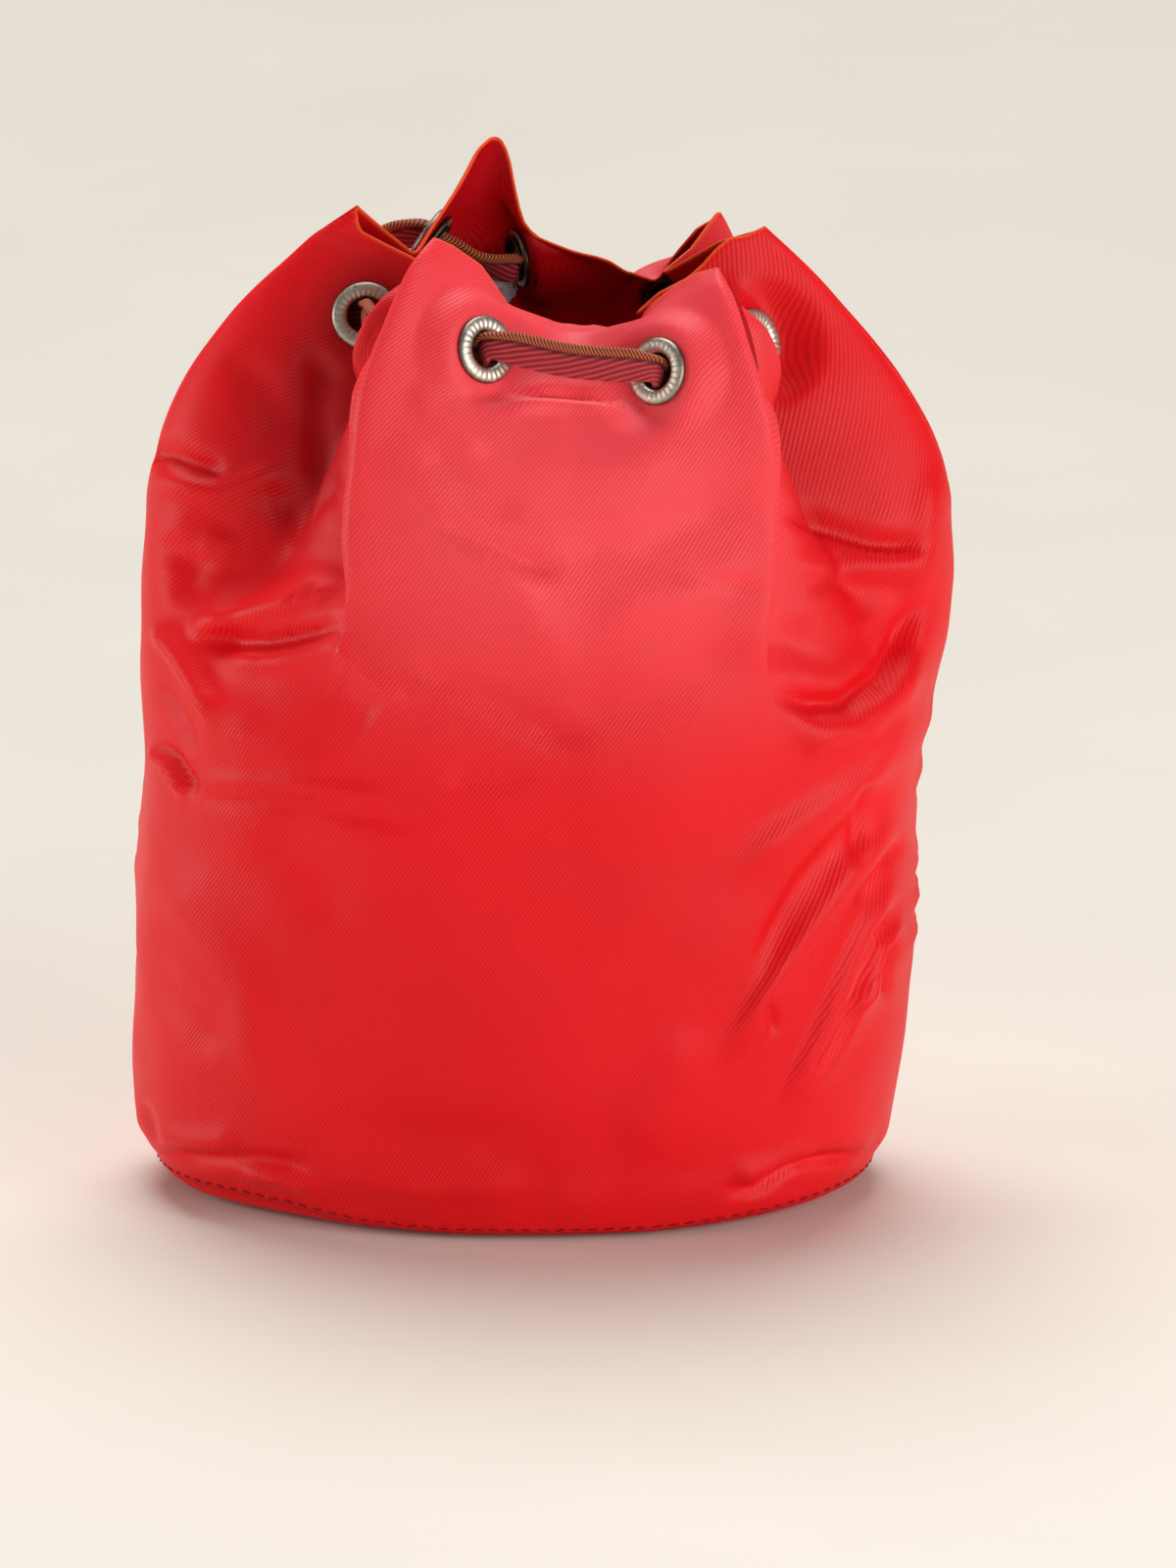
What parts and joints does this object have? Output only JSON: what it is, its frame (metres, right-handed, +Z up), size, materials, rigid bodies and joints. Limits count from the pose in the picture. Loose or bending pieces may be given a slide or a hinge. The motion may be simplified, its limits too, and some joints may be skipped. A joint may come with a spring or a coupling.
{
  "type": "drawstring pouch",
  "caption": "Soft nylon twill pouch that stands on an oval base, gathered shut by a strap threaded through metal eyelets in the folds of its mouth.",
  "frame": {"origin": "middle of the flat underside of the base", "axes": "+Z up through the mouth, +X to the right as seen from the front, +Y to the back"},
  "size_m": [0.1698, 0.112, 0.2136],
  "materials": {
    "red_twill": "satin twill",
    "plum_lining": "smooth lining cloth",
    "clear_film": "clear and creased",
    "red_webbing": "ribbed webbing",
    "antique_pewter": "antique, worn bright on the rims"
  },
  "bodies": {
    "root": {"front_panel": "red_twill", "back_panel": "red_twill", "base_panel": "red_twill", "lining": "plum_lining", "inner_tag": "clear_film", "drawstring": "red_webbing", "eyelet_01": "antique_pewter", "eyelet_02": "antique_pewter", "eyelet_03": "antique_pewter", "eyelet_04": "antique_pewter", "eyelet_05": "antique_pewter", "eyelet_06": "antique_pewter", "eyelet_07": "antique_pewter", "eyelet_08": "antique_pewter", "eyelet_09": "antique_pewter", "eyelet_10": "antique_pewter", "eyelet_11": "antique_pewter", "eyelet_12": "antique_pewter", "washer_01": "antique_pewter", "washer_02": "antique_pewter", "washer_03": "antique_pewter", "washer_04": "antique_pewter", "washer_05": "antique_pewter", "washer_06": "antique_pewter", "washer_07": "antique_pewter", "washer_08": "antique_pewter", "washer_09": "antique_pewter", "washer_10": "antique_pewter", "washer_11": "antique_pewter", "washer_12": "antique_pewter"}
  },
  "joints": []
}
